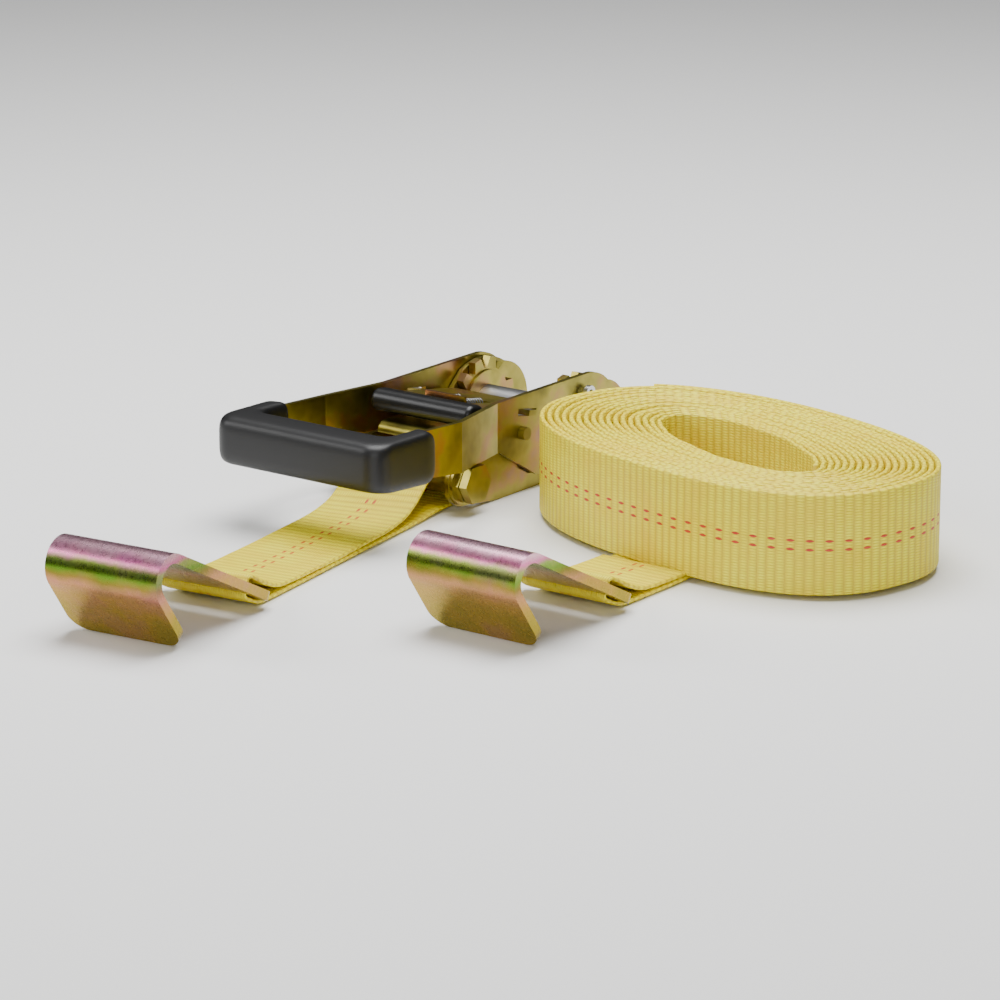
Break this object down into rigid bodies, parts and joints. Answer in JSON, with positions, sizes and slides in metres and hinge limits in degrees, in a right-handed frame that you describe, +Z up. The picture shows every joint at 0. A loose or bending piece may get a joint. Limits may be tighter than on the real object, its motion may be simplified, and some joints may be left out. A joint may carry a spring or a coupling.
{
  "type": "ratchet tie down",
  "caption": "Ratchet tie down: a lever ratchet on a short webbing strap with a flat hook, and a long webbing strap with its own flat hook, rolled up beside it.",
  "frame": {"origin": "middle of the whole set in plan, on the floor it lies on", "axes": "+Z up; +Y along the ratchet from its grip to its mandrel; +X along the mandrel, from the ratchet towards the rolled strap"},
  "size_m": [0.35, 0.436, 0.058],
  "materials": {
    "yellow_zinc_steel": "satin yellow zinc plate",
    "bright_steel": "bright machined",
    "spring_steel": "drawn wire",
    "grip_rubber": "satin",
    "black_plastic": "satin",
    "webbing": "woven polyester"
  },
  "bodies": {
    "ratchet_frame": {"frame_cheek_near": "yellow_zinc_steel", "frame_cheek_far": "yellow_zinc_steel", "frame_bridge": "yellow_zinc_steel", "anchor_bolt": "yellow_zinc_steel", "anchor_nut": "yellow_zinc_steel", "anchor_washers": "yellow_zinc_steel", "anchor_sleeve": "yellow_zinc_steel", "lock_spring_plate": "yellow_zinc_steel", "lock_springs": "spring_steel"},
    "lock_pawl": {"lock_pawl": "yellow_zinc_steel"},
    "spool": {"mandrel_half_upper": "bright_steel", "mandrel_half_lower": "bright_steel", "ratchet_wheel_near": "yellow_zinc_steel", "ratchet_wheel_far": "yellow_zinc_steel", "hub_collars": "yellow_zinc_steel", "end_washers": "yellow_zinc_steel", "split_pins": "bright_steel"},
    "handle": {"handle_plate_near": "yellow_zinc_steel", "handle_plate_far": "yellow_zinc_steel", "handle_grip": "grip_rubber", "grip_core": "yellow_zinc_steel", "cross_pin": "yellow_zinc_steel", "drive_spring_plate": "yellow_zinc_steel", "drive_springs": "spring_steel"},
    "drive_pawl": {"drive_pawl": "yellow_zinc_steel", "release_bar": "black_plastic"},
    "short_strap": {"short_strap": "webbing"},
    "short_hook": {"short_strap_hook": "yellow_zinc_steel"},
    "long_strap": {"long_strap_roll": "webbing", "long_strap_lead": "webbing"},
    "long_hook": {"long_strap_hook": "yellow_zinc_steel"}
  },
  "joints": [
    {"name": "handle_swing", "type": "hinge", "parent": "ratchet_frame", "child": "handle", "pos_m": [-0.12, 0.1735, 0.027], "axis": [-1, 0, 0], "range_deg": [0, 180]},
    {"name": "spool_turn", "type": "hinge", "parent": "ratchet_frame", "child": "spool", "pos_m": [-0.12, 0.1735, 0.027], "axis": [1, 0, 0], "continuous": true},
    {"name": "drive_pawl_release", "type": "slide", "parent": "handle", "child": "drive_pawl", "axis": [0, 0.9863, -0.165], "range_m": [-0.006, 0.003], "stiffness_N_per_m": 1500, "deforming": ["drive_springs"]},
    {"name": "lock_pawl_release", "type": "slide", "parent": "ratchet_frame", "child": "lock_pawl", "axis": [0, -0.8761, 0.4821], "range_m": [0, 0.007], "stiffness_N_per_m": 1200, "deforming": ["lock_springs"]},
    {"name": "short_strap_swing", "type": "hinge", "parent": "ratchet_frame", "child": "short_strap", "pos_m": [-0.12, 0.072, 0.0165], "axis": [-1, 0, 0], "range_deg": [-60, 8]},
    {"name": "short_hook_lift", "type": "hinge", "parent": "short_strap", "child": "short_hook", "pos_m": [-0.08904, -0.11968, 0.00537], "axis": [-0.9945, -0.1045, 0], "range_deg": [0, 12]},
    {"name": "long_strap_lift", "type": "slide", "parent": "ratchet_frame", "child": "long_strap", "axis": [0, 0, 1], "range_m": [0, 0.08]},
    {"name": "long_hook_lift", "type": "hinge", "parent": "long_strap", "child": "long_hook", "pos_m": [0.0525, -0.01448, 0.00537], "axis": [-1, 0, 0], "range_deg": [0, 12]}
  ]
}
